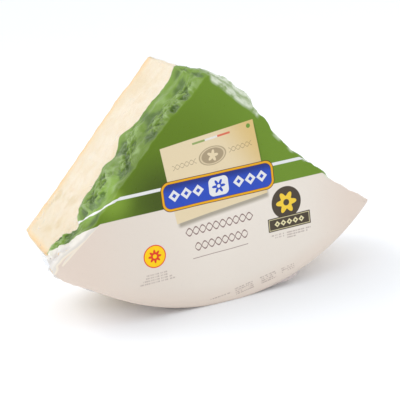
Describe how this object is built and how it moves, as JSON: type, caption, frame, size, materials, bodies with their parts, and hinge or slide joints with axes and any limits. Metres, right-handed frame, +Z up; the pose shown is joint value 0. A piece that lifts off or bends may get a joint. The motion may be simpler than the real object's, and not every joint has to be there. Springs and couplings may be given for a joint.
{
  "type": "parmesan wedge in film",
  "caption": "Large wedge of hard cheese with its curved rind below, sealed in a close film bag: printed over the front and part of the cuts, clear over the rest.",
  "frame": {"origin": "on the surface the wedge stands on, under the middle of its box", "axes": "+X to the right along the longest extent, +Y from the printed front face to the back, +Z up towards the wedge's point"},
  "size_m": [0.3076, 0.1278, 0.2127],
  "materials": {
    "printed_film": "glossy printed film, green above and cream below, drawn close over the cheese",
    "clear_film": "clear glossy film, lightly creased",
    "cheese": "pale straw cheese paste with a fine broken grain, golden towards the rind"
  },
  "bodies": {
    "root": {"wedge_in_film": "printed_film"}
  },
  "joints": []
}
